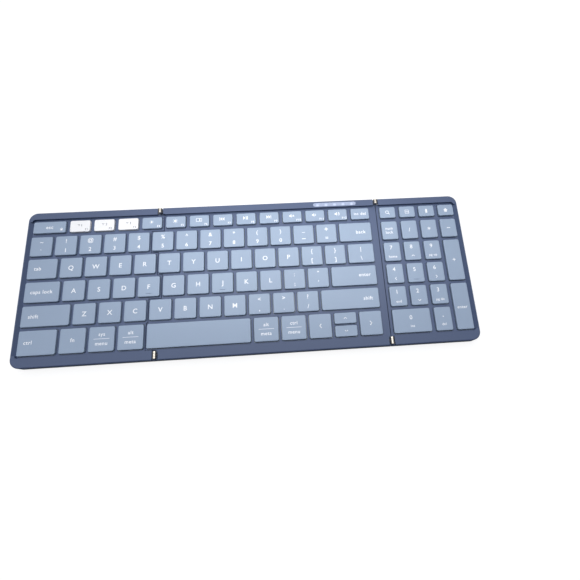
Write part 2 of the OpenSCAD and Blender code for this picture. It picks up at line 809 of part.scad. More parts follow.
module along_y(x, y0, y1, z) {
    translate([x, y1, z]) rotate([90, 0, 0]) linear_extrude(y1 - y0) children();
}

// One hinge leaf: its barrel segments, and a flat plate held in the casing
module hinge_leaf(h, b, side, parts) {
    span = leaf_len - notch_r - barrel_inset;
    color("#cdb98a") difference() {
        union() {
            for (i = parts) {
                s = segments(b)[i];
                along_y(X(h), s[0], s[1], axis_z) circle(d = barrel_d);
                translate([side > 0 ? X(h) : X(h) - leaf_len, s[0], notch_z])
                    cube([leaf_len, s[1] - s[0], leaf_t]);
            }
            translate([X(h) + (side > 0 ? leaf_len - span : -leaf_len), b[0], notch_z])
                cube([span, b[1] - b[0], leaf_t]);
        }
        along_y(X(h), b[0] - 1, b[1] + 1, axis_z) circle(r = pin_d / 2 + pin_clear);
    }
}

module hinge_pin(h, b) {
    color(steel) along_y(X(h), b[0], b[1], axis_z) circle(d = pin_d);
}

module left_top_frame() { top_frame("left", left_keys, left_screw_x); }
module centre_top_frame() { top_frame("centre", centre_keys, centre_screw_x); }
module right_top_frame() { top_frame("right", right_keys, right_screw_x); }

pad_panel_w = casing_w - hinge_right;
left_post_x = [for (f = [0.2, 0.45, 0.7]) X(left_panel_w * f)];
right_post_x = [for (f = [0.3, 0.55, 0.8]) X(hinge_right + pad_panel_w * f)];
centre_post_x = [X(fold_max + post_from_fold), X(battery_x0 + battery_len + 3 * post_d),
    X(hinge_right - post_from_fold)];
side_post_y = [for (f = [0.25, 0.5, 0.75]) Y(casing_d * f)];
centre_post_y = [Y(battery_back + post_d), Y(casing_d * 0.62), Y(casing_d * 0.82)];

module left_bottom_cover() {
    bottom_cover("left", left_screw_x, left_foot_x, left_post_x, side_post_y);
}
module centre_bottom_cover() {
    bottom_cover("centre", centre_screw_x, centre_foot_x, centre_post_x, centre_post_y);
}
module right_bottom_cover() {
    bottom_cover("right", right_screw_x, right_foot_x, right_post_x, side_post_y);
}

module circuit_board() {
    color("#2f6b4a") difference() {
        translate([X(board_x0), Y(board_front), board_z])
            cube([board_len, board_depth, board_t]);
        at_screws(centre_screw_x) cylinder(d = board_notch_d, h = bezel_z);
    }
    color("#22242a") {
        translate([X(board_x0 + board_len * 0.42), ribbon_y, usb_z]) cube(chip);
        translate([X(board_x0 + board_len * 0.6), ribbon_y, usb_z]) cube(small_chip);
        for (x = [0, board_len - connector_len])
            translate([X(board_x0 + x), ribbon_y - ribbon_w / 2 - ribbon_margin, usb_z])
                cube([connector_len, ribbon_w + 2 * ribbon_margin, ribbon_z - usb_z]);
    }
    color("#f4f4e8") at_lights() translate([0, 0, usb_z + light_h / 2])
        cube([1.6, 0.8, light_h], center = true);
}

module at_lights() {
    for (i = [0:light_count - 1])
        translate([X(window_x) + (i - (light_count - 1) / 2) * light_step, back_screw_y, 0])
            children();
}

module battery() {
    color("#b9bcc2") translate([X(battery_x0), Y(battery_back + battery_depth), battery_z])
        cube([battery_len, battery_depth, battery_t]);
}

module charging_socket() {
    r = usb_h / 2 - eps;
    tongue = [usb_w * 0.72, usb_len * 0.8, 0.7];
    color("#c4c7cc") translate([X(usb_x), Y(usb_inset), usb_z + usb_h / 2]) rotate([90, 0, 0])
        difference() {
            linear_extrude(usb_len) rounded_rect(usb_w, usb_h, r);
            translate([0, 0, -1]) linear_extrude(usb_len + 1 - 2 * usb_wall)
                rounded_rect(usb_w - 2 * usb_wall, usb_h - 2 * usb_wall, r - usb_wall);
        }
    color("#22242a")
        translate([X(usb_x), Y(usb_inset + usb_len - usb_wall - tongue[1] / 2), usb_z + usb_h / 2])
            cube(tongue, center = true);
}

module indicator_window() {
    color("#cdd3ea") {
        translate([X(window_x), back_screw_y, bezel_under]) linear_extrude(bezel_t)
            rounded_rect(window_len - 2 * window_gap, window_w - 2 * window_gap,
                window_w / 2 - window_gap - eps);
        at_lights() translate([0, 0, light_z + light_gap])
            cylinder(d = 2, h = bezel_under - light_z);
    }
}

module ribbon(xs) {
    color("#c98a3a") translate([X(xs[0]), ribbon_y - ribbon_w / 2, ribbon_z])
        cube([xs[1] - xs[0], ribbon_w, ribbon_t]);
}

left_top_frame();
left_bottom_cover();
key_plate("left");  // left_key_plate
membrane("left");  // left_membrane
rubber_domes(left_keys);  // left_rubber_domes
scissors(left_keys);  // left_scissors
feet(left_foot_x);  // left_feet
screws(left_screw_x);  // left_screws
centre_top_frame();
centre_bottom_cover();
key_plate("centre");  // centre_key_plate
membrane("centre");  // centre_membrane
rubber_domes(centre_keys);  // centre_rubber_domes
scissors(centre_keys);  // centre_scissors
feet(centre_foot_x);  // centre_feet
screws(centre_screw_x);  // centre_screws
circuit_board();
battery();
charging_socket();
indicator_window();
right_top_frame();
right_bottom_cover();
key_plate("right");  // right_key_plate
membrane("right");  // right_membrane
rubber_domes(right_keys);  // right_rubber_domes
scissors(right_keys);  // right_scissors
feet(right_foot_x);  // right_feet
screws(right_screw_x);  // right_screws
for (b = barrels) hinge_leaf(hinge_left, b, -1, [0, 2]);  // left_hinge_leaves
for (b = barrels) hinge_leaf(hinge_right, b, 1, [0, 2]);  // right_hinge_leaves
for (b = barrels) {  // centre_hinge_leaves
        hinge_leaf(hinge_left, b, 1, [1]);
        hinge_leaf(hinge_right, b, -1, [1]);
    }
for (h = hinge_lines, b = barrels) hinge_pin(h, b);  // hinge_pins
ribbon(ribbon_left_x);  // left_ribbon
ribbon(ribbon_right_x);  // right_ribbon
key_caps(esc_and_f4);  // esc_and_f4_keys
color("#f2f0ee") for (k = device) key_cap(k);  // device_keys
key_caps(left_numbers);  // left_number_keys
key_caps(tab);  // tab_key
key_caps(left_upper);  // left_upper_letter_keys
key_caps(caps);  // caps_lock_key
union() {  // left_home_letter_keys
    key_caps(left_home);
    home_bar(left_home[3]);
}
key_caps(left_shift);  // left_shift_key
key_caps(left_lower);  // left_lower_letter_keys
key_caps(left_modifiers);  // left_modifier_keys
key_caps(functions);  // function_keys
key_caps(numbers);  // number_keys
key_caps(backspace);  // backspace_key
key_caps(upper);  // upper_letter_keys
key_caps(backslash);  // backslash_key
union() {  // home_letter_keys
    key_caps(home_row);
    home_bar(home_row[2]);
}
key_caps(enter);  // enter_key
key_caps(lower);  // lower_letter_keys
key_caps(right_shift);  // right_shift_key
key_caps(space);  // space_bar
key_caps(right_modifiers);  // right_modifier_keys
key_caps(arrows);  // arrow_keys
key_caps(pad_top);  // numpad_top_keys
union() {  // numpad_digit_keys
    key_caps(pad_digits);
    home_bar(pad_digits[4]);
}
key_caps(pad_bottom);  // numpad_zero_and_point_keys
key_caps(pad_tall);  // numpad_tall_keys
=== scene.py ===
# %% [markdown]
# # A full-size keyboard that folds in three
#
# The construction model already holds every solid piece of this keyboard at its true size.
# This lesson dresses it: it gives each surface the material of the real one, swaps the plain
# key caps for soft-edged ones with printed legends, and puts the whole on a pale table under
# studio light. Lengths are in metres, and `MM` turns a drawing's millimetres into them.

# %% Load the construction model
import json
import math

import bmesh
import bpy
import numpy as np
from mathutils import Euler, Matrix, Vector

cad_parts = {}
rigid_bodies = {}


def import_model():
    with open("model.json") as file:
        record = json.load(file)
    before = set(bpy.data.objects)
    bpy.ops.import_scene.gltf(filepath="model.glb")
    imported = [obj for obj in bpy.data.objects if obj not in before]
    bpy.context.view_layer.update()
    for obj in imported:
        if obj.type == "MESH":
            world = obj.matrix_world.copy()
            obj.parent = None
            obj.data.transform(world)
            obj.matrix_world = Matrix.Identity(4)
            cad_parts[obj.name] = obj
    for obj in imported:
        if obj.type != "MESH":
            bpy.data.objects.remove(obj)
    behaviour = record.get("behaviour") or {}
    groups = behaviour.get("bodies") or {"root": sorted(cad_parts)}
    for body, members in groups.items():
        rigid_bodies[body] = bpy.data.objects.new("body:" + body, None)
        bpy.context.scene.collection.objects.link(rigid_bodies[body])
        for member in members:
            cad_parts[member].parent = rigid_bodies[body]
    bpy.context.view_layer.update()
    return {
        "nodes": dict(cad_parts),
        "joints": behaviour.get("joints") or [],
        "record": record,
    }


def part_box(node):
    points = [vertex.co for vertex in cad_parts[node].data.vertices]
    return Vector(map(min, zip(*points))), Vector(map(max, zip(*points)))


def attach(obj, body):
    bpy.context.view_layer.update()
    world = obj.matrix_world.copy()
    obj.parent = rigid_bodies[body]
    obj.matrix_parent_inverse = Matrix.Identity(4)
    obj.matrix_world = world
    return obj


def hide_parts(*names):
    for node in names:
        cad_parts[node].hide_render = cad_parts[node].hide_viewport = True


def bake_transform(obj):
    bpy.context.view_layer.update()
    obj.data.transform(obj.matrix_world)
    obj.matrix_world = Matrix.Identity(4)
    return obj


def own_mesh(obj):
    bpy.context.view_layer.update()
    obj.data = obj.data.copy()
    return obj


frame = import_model()
nodes = frame["nodes"]
MM = 0.001

# %% [markdown]
# ## Colour and node helpers
#
# A given colour is an sRGB value, but a shader works with linear light. One function
# turns a hex colour into linear numbers, so every colour below can be written as a painter or
# a plastics supplier would write it. A second function adds a shader node with its settings
# and links in one line, which keeps each material short enough to read at a glance.

# %% Helpers for colours and shader nodes
def linear(hex_colour):
    """The linear RGBA values of an sRGB hex colour."""
    channels = [int(hex_colour[i : i + 2], 16) / 255 for i in (1, 3, 5)]
    return (*(c / 12.92 if c <= 0.04045 else ((c + 0.055) / 1.055) ** 2.4 for c in channels), 1.0)


def add_node(tree, kind, inputs=None, **settings):
    """A new shader node with its settings. An input is a value, or another node's socket."""
    node = tree.nodes.new("ShaderNode" + kind)
    for name, value in settings.items():
        setattr(node, name, value)
    for name, value in (inputs or {}).items():
        if isinstance(value, bpy.types.NodeSocket):
            tree.links.new(value, node.inputs[name])
        else:
            node.inputs[name].default_value = value
    return node


def new_material(name):
    """An empty material: its node tree and its Principled shader."""
    material = bpy.data.materials.new(name)
    material.use_nodes = True
    tree = material.node_tree
    return material, tree, tree.nodes["Principled BSDF"]


# %% [markdown]
# ## Moulded plastic
#
# The casing and the key caps are ABS, injected into a steel mould. A mould for a matt part is
# spark-eroded, which leaves a fine pebble texture that scatters light, so the plastic looks
# soft and slightly chalky. The colour goes right through, and varies only a little where the
# melt cooled at different speeds. A noise at the size of the pebbles drives a bump, a second
# one much larger shifts the colour and the roughness. The real pebbles are about 0.05 mm
# across, too fine for this picture, so they are drawn several times coarser.

# %% The plastic material
PLASTIC_IOR = 1.54  # of ABS, and the other plastics here lie near it
ROUGHNESS_SWING = 0.05


def moulded_plastic(name, colour, shade, roughness, pebble_mm, depth_mm, gloss=0.5, patch_mm=40):
    """Matt injection-moulded ABS, which wanders between colour and shade over each patch."""
    material, tree, shader = new_material(name)
    place = add_node(tree, "TexCoord").outputs["Object"]
    pebbles = add_node(
        tree, "TexNoise",
        {"Vector": place, "Scale": 1 / (pebble_mm * MM), "Detail": 3.0, "Roughness": 0.6},
    )
    patches = add_node(tree, "TexNoise", {"Vector": place, "Scale": 1 / (patch_mm * MM), "Detail": 2.0})
    tint = add_node(
        tree, "Mix", {"Factor": patches.outputs["Fac"], "A": linear(colour), "B": linear(shade)},
        data_type="RGBA",
    )
    smoothest, roughest = roughness - ROUGHNESS_SWING, roughness + ROUGHNESS_SWING
    rough = add_node(
        tree, "MapRange", {"Value": pebbles.outputs["Fac"], "To Min": smoothest, "To Max": roughest}
    )
    bump = add_node(
        tree, "Bump", {"Height": pebbles.outputs["Fac"], "Distance": depth_mm * MM, "Strength": 0.6}
    )
    tree.links.new(tint.outputs[2], shader.inputs["Base Color"])
    tree.links.new(rough.outputs["Result"], shader.inputs["Roughness"])
    tree.links.new(bump.outputs["Normal"], shader.inputs["Normal"])
    shader.inputs["IOR"].default_value = PLASTIC_IOR
    shader.inputs["Specular IOR Level"].default_value = gloss
    return material


slate_casing = moulded_plastic("slate_abs_casing", "#4a5a7a", "#465574", 0.5, 0.35, 0.02)
# The bottom cover is the casing's slate made darker: painted shade for the dark band along the casing's
# sides.
slate_cover_painted_shade = moulded_plastic("slate_abs_cover_painted_shade", "#3c4861", "#37425a", 0.55, 0.35, 0.02)
blue_cap = moulded_plastic("light_blue_abs_key", "#9caec3", "#98a9be", 0.5, 0.3, 0.01, patch_mm=25)
white_cap = moulded_plastic("white_abs_key", "#fefdfb", "#faf9f7", 0.45, 0.3, 0.01, patch_mm=25)
print("plastics:", slate_casing.name, slate_cover_painted_shade.name, blue_cap.name, white_cap.name)

# %% [markdown]
# ## Ink for the legends
#
# The legends are printed with a silicone pad and then cured. The ink is a thin opaque film
# that lies a hair proud of the cap and is a little glossier than the plastic round it. The
# white keys carry the same marks in grey. A faint noise keeps the film from looking perfectly
# even, as a pad never lays down ink evenly.

# %% The ink materials
INK_PATCH = 0.4 * MM


def pad_printed_ink(name, colour, thin_colour):
    """An opaque cured ink whose cover varies a little over a few tenths of a millimetre."""
    material, tree, shader = new_material(name)
    place = add_node(tree, "TexCoord").outputs["Object"]
    cover = add_node(tree, "TexNoise", {"Vector": place, "Scale": 1 / INK_PATCH, "Detail": 2.0})
    tint = add_node(
        tree, "Mix", {"Factor": cover.outputs["Fac"], "A": linear(colour), "B": linear(thin_colour)},
        data_type="RGBA",
    )
    tree.links.new(tint.outputs[2], shader.inputs["Base Color"])
    shader.inputs["Roughness"].default_value = 0.4
    return material


white_ink = pad_printed_ink("white_pad_printed_ink", "#ffffff", "#f6f8fc")
grey_ink = pad_printed_ink("grey_pad_printed_ink", "#8d8f94", "#9a9ca0")
print("inks:", white_ink.name, grey_ink.name)

# %% [markdown]
# ## Polished hinge metal
#
# The barrels are turned from a copper-zinc alloy, polished, and plated in a pale champagne
# tone. Polishing leaves very fine lines that run round the barrel, so the highlight is drawn
# out a little along it. A wave across the barrel's length, bent by a noise, gives a shallow
# bump of such lines. A metal's colour is its reflection, so the base colour is pale and the
# metallic value is 1.

# %% The metals
WAVE_AT_ONE = 2 * math.pi / 20  # at scale 1, the bands of a wave texture lie this far apart
SMUDGE = 3 * MM


def worked_metal(name, colour, roughness, line_mm, depth_mm, direction="Y"):
    """A bare or plated metal with fine working lines across the given direction."""
    material, tree, shader = new_material(name)
    place = add_node(tree, "TexCoord").outputs["Object"]
    lines = add_node(
        tree, "TexWave",
        {"Vector": place, "Scale": WAVE_AT_ONE / (line_mm * MM), "Distortion": 2.0, "Detail": 2.0},
        bands_direction=direction,
    )
    smudges = add_node(tree, "TexNoise", {"Vector": place, "Scale": 1 / SMUDGE, "Detail": 3.0})
    rough = add_node(
        tree, "MapRange",
        {"Value": smudges.outputs["Fac"], "To Min": roughness * 0.7, "To Max": roughness * 1.3},
    )
    bump = add_node(
        tree, "Bump", {"Height": lines.outputs["Fac"], "Distance": depth_mm * MM, "Strength": 0.4}
    )
    tree.links.new(rough.outputs["Result"], shader.inputs["Roughness"])
    tree.links.new(bump.outputs["Normal"], shader.inputs["Normal"])
    shader.inputs["Base Color"].default_value = linear(colour)
    shader.inputs["Metallic"].default_value = 1.0
    return material


champagne_plating = worked_metal("champagne_plated_brass", "#cfc7b8", 0.16, 0.3, 0.002)
plate_steel = worked_metal("zinc_coated_sheet_steel", "#a9adb3", 0.38, 0.6, 0.004, "X")
screw_steel = worked_metal("black_zinc_screw_steel", "#4a4d52", 0.35, 0.2, 0.003, "Z")
socket_steel = worked_metal("drawn_stainless_shell", "#c9cbcf", 0.25, 0.4, 0.004)
battery_foil = worked_metal("aluminium_pouch_foil", "#c3c6ca", 0.42, 1.2, 0.01, "X")
print("metals:", champagne_plating.name, plate_steel.name, screw_steel.name)

# %% [markdown]
# ## Rubber, film and board
#
# What lies inside is seen only if the keyboard is taken apart, but it is finished too. The
# domes are translucent silicone, the scissors white acetal, the membrane a polyester film, and
# the circuit board glass cloth under green solder mask. The ribbon is copper between black
# polyimide films, thin enough to bend each time a panel folds. Feet are a soft black rubber.

# %% The inner materials
silicone = moulded_plastic("milky_silicone_rubber", "#dedad2", "#d6d2c9", 0.45, 0.4, 0.01)
acetal = moulded_plastic("white_acetal", "#ecebe8", "#e4e3e0", 0.4, 0.3, 0.006)
foot_rubber = moulded_plastic("black_foot_rubber", "#23262c", "#2a2d34", 0.75, 0.3, 0.03, 0.3)
polyester_film = moulded_plastic("polyester_membrane_film", "#c5cfc6", "#b3c2bd", 0.25, 1.5, 0.004)
solder_mask = moulded_plastic("green_solder_mask", "#1f6044", "#2c7252", 0.3, 0.8, 0.01, patch_mm=3)
coverlay = moulded_plastic("black_polyimide_coverlay", "#1d1e22", "#25262b", 0.35, 0.5, 0.004, patch_mm=5)

inside = {
    "key_plate": plate_steel, "membrane": polyester_film, "rubber_domes": silicone,
    "scissors": acetal, "feet": foot_rubber, "screws": screw_steel, "top_frame": slate_casing,
    "bottom_cover": slate_cover_painted_shade, "hinge_leaves": champagne_plating, "hinge_pins": screw_steel,
    "circuit_board": solder_mask, "battery": battery_foil, "charging_socket": socket_steel,
    "ribbon": coverlay,
}
for name, node in nodes.items():
    for ending, material in inside.items():
        if name.endswith(ending):
            node.data.materials.clear()
            node.data.materials.append(material)
print("dressed", sum(name.endswith(tuple(inside)) for name in nodes), "nodes of the construction model")

# %% [markdown]
# ## Milky window over the lights
#
# A pale window in the back bezel covers the indicator lights. It is polycarbonate with a
# little white pigment: light gets in, scatters and comes out soft. Subsurface scattering over
# half a millimetre gives that depth. Under it stand five short clear posts, one over each
# light, and round each post a paler spot is painted into the colour: painted light coming up
# through the post. The distance to the nearest post comes from a ping-pong of the place along
# the window, which repeats every fifth of it.

# %% The window material
LIGHTS = 5
# The painted light over each post is full within POST_R and gone beyond HALO_R.
POST_R = 0.5 * MM  # the window is palest within this radius
HALO_R = 1.8 * MM  # and has its own colour from this radius outwards
POST_FORWARD = 0.5 * MM  # the posts stand this far in front of the window's middle
POLYCARBONATE_IOR = 1.585


def milky_plastic(name, colour, cloudy, painted_glow_colour, scatter_mm):
    """Pigmented polycarbonate that light enters and leaves softened, with painted light over each post.
    """
    low, high = (Vector(corner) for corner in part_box("indicator_window"))
    middle = (low + high) / 2
    step = (high.x - low.x) / LIGHTS
    material, tree, shader = new_material(name)
    place = add_node(tree, "TexCoord").outputs["Object"]
    from_middle = add_node(
        tree, "VectorMath", {0: place, 1: (middle.x, middle.y - POST_FORWARD, 0)}, operation="SUBTRACT"
    )
    split = add_node(tree, "SeparateXYZ", {0: from_middle.outputs[0]})
    along = add_node(tree, "Math", {0: split.outputs["X"], 1: step / 2}, operation="PINGPONG")
    flat = add_node(tree, "CombineXYZ", {"X": along.outputs[0], "Y": split.outputs["Y"]})
    distance = add_node(tree, "VectorMath", {0: flat.outputs[0]}, operation="LENGTH")
    # Painted light: the window turns paler towards each post, as if lit from below through it.
    painted_glow = add_node(
        tree, "MapRange", {"Value": distance.outputs["Value"], "From Min": HALO_R, "From Max": POST_R}
    )
    cloud = add_node(tree, "TexNoise", {"Vector": place, "Scale": 1 / (2 * MM), "Detail": 2.0})
    body = add_node(
        tree, "Mix", {"Factor": cloud.outputs["Fac"], "A": linear(colour), "B": linear(cloudy)},
        data_type="RGBA",
    )
    tint = add_node(
        tree, "Mix", {"Factor": painted_glow.outputs["Result"], "A": body.outputs[2], "B": linear(painted_glow_colour)},
        data_type="RGBA",
    )
    tree.links.new(tint.outputs[2], shader.inputs["Base Color"])
    shader.inputs["Subsurface Weight"].default_value = 0.4
    shader.inputs["Subsurface Radius"].default_value = (1.0, 1.0, 1.0)
    shader.inputs["Subsurface Scale"].default_value = scatter_mm * MM
    shader.inputs["Roughness"].default_value = 0.22
    shader.inputs["IOR"].default_value = POLYCARBONATE_IOR
    return material


window_plastic = milky_plastic("milky_polycarbonate", "#a0abc4", "#adb8d0", "#c8d3ea", 0.5)
nodes["indicator_window"].data.materials.clear()
nodes["indicator_window"].data.materials.append(window_plastic)
print("window:", window_plastic.name, "paler over", LIGHTS, "posts")

# %% [markdown]
# ## Finding the keys
#
# Each node of key caps in the construction model holds several separate solids, one for each
# key. Their places are read back from the mesh: vertices at one place are merged, and every
# island of connected faces is one cap. Sorted by row and then from left to right, the islands
# meet their legends in the order in which a typist would read them.

# %% Read the key caps' places from the frame
MERGE = 0.001 * MM


def islands(node):
    """(lowest corner, highest corner) of each separate solid of a node, back row first."""
    bm = bmesh.new()
    bm.from_mesh(node.data)
    bmesh.ops.remove_doubles(bm, verts=bm.verts, dist=MERGE)
    left = set(bm.verts)
    found = []
    while left:
        group = set()
        edge_of_group = [left.pop()]
        while edge_of_group:
            v = edge_of_group.pop()
            group.add(v)
            for edge in v.link_edges:
                other = edge.other_vert(v)
                if other in left:
                    left.discard(other)
                    edge_of_group.append(other)
        low = Vector(min(v.co[i] for v in group) for i in range(3))
        high = Vector(max(v.co[i] for v in group) for i in range(3))
        found.append((low, high))
    bm.free()
    return sorted(found, key=lambda box: (-round(box[1].y, 3), box[0].x))


key_nodes = [n for n in nodes if n.endswith(("_keys", "_key", "space_bar"))]
keys = {n: islands(nodes[n]) for n in key_nodes}
cap_bottom = min(low.z for boxes in keys.values() for low, high in boxes)
cap_top = min(high.z for boxes in keys.values() for low, high in boxes)
print(sum(map(len, keys.values())), "caps in", len(keys), "nodes, top at", round(cap_top / MM, 3), "mm")

# %% [markdown]
# ## Soft-edged key caps
#
# A real cap has no sharp edge: its top turns over a small radius that catches the light, and
# its face is dished a little so that a finger finds the middle. The cap is lofted from rings.
# Each ring is the same rounded rectangle, drawn in by a little more and set at another height:
# up the skirt, over the edge, down into the dish, and, for the underside, down the inside of
# the skirt. Joined in order, the rings make one closed shell.

# %% Draw the rings of a cap
CORNER_R = 1.3 * MM
LEAST_CORNER_R = 0.2 * MM
CORNER_STEPS = 5
EDGE_R = 0.4 * MM
EDGE_STEPS = 5
DISH = 0.1 * MM
DISH_STEPS = 5
SKIRT_WALL = 1.2 * MM
TOP_WALL = 1.0 * MM
CEILING_IN = 0.5 * MM  # between the skirt and the ceiling, the inside slopes this far in
CEILING_DOWN = 0.3 * MM  # and this far down
DRAFT = 0.05 * MM


def ring(low, high, inset, z):
    """One rounded rectangle of a cap, anticlockwise as seen from above."""
    r = max(CORNER_R - inset, LEAST_CORNER_R)
    points = []
    for quarter, (sx, sy) in enumerate(((1, 1), (0, 1), (0, 0), (1, 0))):
        cx = (high.x - inset - r) if sx else (low.x + inset + r)
        cy = (high.y - inset - r) if sy else (low.y + inset + r)
        for step in range(CORNER_STEPS + 1):
            a = math.pi / 2 * (quarter + step / CORNER_STEPS)
            points.append((cx + r * math.cos(a), cy + r * math.sin(a), z))
    return points


def dish_reach(low, high):
    """How far in from its sides a cap's face goes on sinking."""
    return min(high.x - low.x, high.y - low.y) / 2 - SKIRT_WALL


def dish_height(t):
    """Height of a cap's face, where t is 0 at its rounded edge and 1 on the floor of the dish."""
    return cap_top - DISH * t * (2 - t)


def cap_profile(low, high):
    """(inset, height) of each ring of one cap, from its ceiling inside to its face's middle."""
    ceiling = cap_top - TOP_WALL
    rings = [(SKIRT_WALL + CEILING_IN, ceiling), (SKIRT_WALL, ceiling - CEILING_DOWN)]
    rings += [(SKIRT_WALL, cap_bottom), (0, cap_bottom), (DRAFT, cap_top - EDGE_R)]
    for step in range(1, EDGE_STEPS + 1):
        a = math.pi / 2 * step / EDGE_STEPS
        rings.append((DRAFT + EDGE_R * (1 - math.cos(a)), cap_top - EDGE_R + EDGE_R * math.sin(a)))
    for step in range(1, DISH_STEPS + 1):
        t = step / DISH_STEPS
        inset = DRAFT + EDGE_R + (dish_reach(low, high) - DRAFT - EDGE_R) * t
        rings.append((inset, dish_height(t)))
    return rings


first_cap = keys["tab_key"][0]
print("the tab key's cap is lofted from", len(cap_profile(*first_cap)), "rings")

# %% [markdown]
# ## From rings to closed shells
#
# Two neighbouring rings have the same number of corners, so a band of four-sided faces joins
# them. One more face closes the first ring and one the last. All of it is shaded smooth, and
# only where two faces meet at more than 50 degrees does the edge stay sharp.

# %% Join the rings
CAP_SHARP_ANGLE = math.radians(50)


def cap_mesh(name, boxes):
    """One mesh of closed caps, one for each box."""
    verts, faces = [], []
    for low, high in boxes:
        rings = [ring(low, high, inset, z) for inset, z in cap_profile(low, high)]
        count = len(rings[0])
        start = len(verts)
        verts += [p for points in rings for p in points]
        faces.append([start + i for i in range(count)])
        for k in range(len(rings) - 1):
            for i in range(count):
                a, b = start + k * count + i, start + k * count + (i + 1) % count
                faces.append((a, b, b + count, a + count))
        last = start + (len(rings) - 1) * count
        faces.append([last + i for i in range(count)])
    mesh = bpy.data.meshes.new(name)
    mesh.from_pydata(verts, [], faces)
    bm = bmesh.new()
    bm.from_mesh(mesh)
    bmesh.ops.recalc_face_normals(bm, faces=bm.faces)
    bm.to_mesh(mesh)
    bm.free()
    mesh.shade_smooth()
    mesh.set_sharp_from_angle(angle=CAP_SHARP_ANGLE)
    return mesh


# %% [markdown]
# ## Caps that travel with their keys
#
# A new object has to move as the solid in the construction model does.

# %% Build every set of caps
body_of_node = {n: b for b, members in frame["record"]["behaviour"]["bodies"].items() for n in members}


def add_piece(name, mesh, material, body):
    """A new object of one material that moves with a body."""
    piece = bpy.data.objects.new(name, mesh)
    bpy.context.scene.collection.objects.link(piece)
    mesh.materials.clear()
    mesh.materials.append(material)
    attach(piece, body)
    return piece


for node_name, boxes in keys.items():
    white = node_name == "device_keys"
    material, slot = (white_cap, "white_keycap") if white else (blue_cap, "blue_keycap")
    name = "caps_of_" + node_name
    piece = add_piece(name, cap_mesh(name, boxes), material, body_of_node[node_name])
    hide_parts(node_name)
print("built", len(keys), "sets of caps")

# %% [markdown]
# ## Domes and scissors under the keys
#
# Under each cap a rubber dome pushes up, and two crossed frames, the scissor, keep the cap
# level. When a key goes down, the dome buckles and the scissor folds flat. Their shapes in the
# construction model are right, so they are only sorted: the solids under one set of caps become
# one mesh, which rides on the panel under those keys.

# %% Pick the solids under a set of caps
GRAIN = 0.0005 * MM  # corners closer together than this are one corner
SUPPORT_SHARP_ANGLE = math.radians(40)


def triangles_of(node):
    """The corner points of a node's triangles, three by three."""
    mesh = node.data
    mesh.calc_loop_triangles()
    places = np.empty(len(mesh.vertices) * 3)
    mesh.vertices.foreach_get("co", places)
    corners = np.empty(len(mesh.loop_triangles) * 3, dtype=int)
    mesh.loop_triangles.foreach_get("vertices", corners)
    return places.reshape(-1, 3)[corners].reshape(-1, 3, 3)


def solids_under(name, triangles, boxes):
    """The solids that stand under the given caps, as a mesh of their own with merged corners."""
    x, y, _ = triangles.mean(axis=1).T
    under = np.zeros(len(triangles), dtype=bool)
    for low, high in boxes:
        under |= (low.x < x) & (x < high.x) & (low.y < y) & (y < high.y)
    grains = (triangles[under].reshape(-1, 3) / GRAIN).round()
    points, corners = np.unique(grains, axis=0, return_inverse=True)
    mesh = bpy.data.meshes.new(name)
    mesh.from_pydata((points * GRAIN).tolist(), [], corners.reshape(-1, 3).tolist())
    mesh.validate()
    mesh.shade_smooth()
    mesh.set_sharp_from_angle(angle=SUPPORT_SHARP_ANGLE)
    return mesh


# %% [markdown]
# ## Sorting by key
#
# The domes and scissors under each set of caps are cut out of the panel's node into a piece
# of their own, and the panel's node is hidden.

# %% Sort the domes and scissors by the keys that press them
presses = {j["child"]: j for j in frame["record"]["behaviour"]["joints"] if j["type"] == "slide"}
supports = (("rubber_domes", silicone, "dome_rubber"), ("scissors", acetal, "scissor_plastic"))
triangles = {n: triangles_of(nodes[n]) for n in nodes if n.endswith(("rubber_domes", "scissors"))}
sorted_pieces = 0
for node_name, boxes in keys.items():
    press = presses[body_of_node[node_name]]
    side = press["parent"].removesuffix("_panel")
    for kind, material, slot in supports:
        source = side + "_" + kind
        name = kind + "_under_" + node_name
        mesh = solids_under(name, triangles[source], boxes)
        piece = add_piece(name, mesh, material, press["parent"])
        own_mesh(piece)
        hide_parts(source)
        sorted_pieces += 1
print("sorted the domes and scissors into", sorted_pieces, "pieces that flatten")

# %% [markdown]
# ## Finger bars
#
# The F, J and 5 keys have a low bar near their front edge, by which the fingers find home. In
# the mould it is a short groove with blunt ends. Here it is a sphere stretched to that shape and
# sunk into the cap, so that only its upper part stands up.

# %% Add the bars
BAR_LEN = 4.5 * MM
BAR_W = 0.55 * MM
BAR_RISE = 0.3 * MM
BAR_BLUNTNESS = 0.35  # the lower, the squarer the ends
BAR_PLACE = 0.16  # of the way from the cap's front edge to its back edge
BARRED_KEYS = (("left_home_letter_keys", 3), ("home_letter_keys", 2), ("numpad_digit_keys", 4))


def bar_mesh(name, centre):
    """A long low mound: a sphere stretched along X, with blunted ends."""
    bm = bmesh.new()
    bmesh.ops.create_uvsphere(bm, u_segments=24, v_segments=12, radius=1)
    for v in bm.verts:
        side = 1 if v.co.x > 0 else -1
        bulge = abs(v.co.x) ** BAR_BLUNTNESS
        v.co = (side * bulge * BAR_LEN / 2, v.co.y * BAR_W / 2, v.co.z * (BAR_RISE + DISH))
        v.co += centre
    mesh = bpy.data.meshes.new(name)
    bm.to_mesh(mesh)
    bm.free()
    mesh.shade_smooth()
    return mesh


for node_name, index in BARRED_KEYS:
    low, high = keys[node_name][index]
    middle = Vector(((low.x + high.x) / 2, low.y + (high.y - low.y) * BAR_PLACE, cap_top - DISH))
    add_piece(
        "finger_bar_of_" + node_name, bar_mesh("finger_bar", middle), blue_cap,
        body_of_node[node_name],
    )
print("finger bars", BAR_LEN / MM, "mm long, rising", round(BAR_RISE / MM, 2), "mm over the dished face")

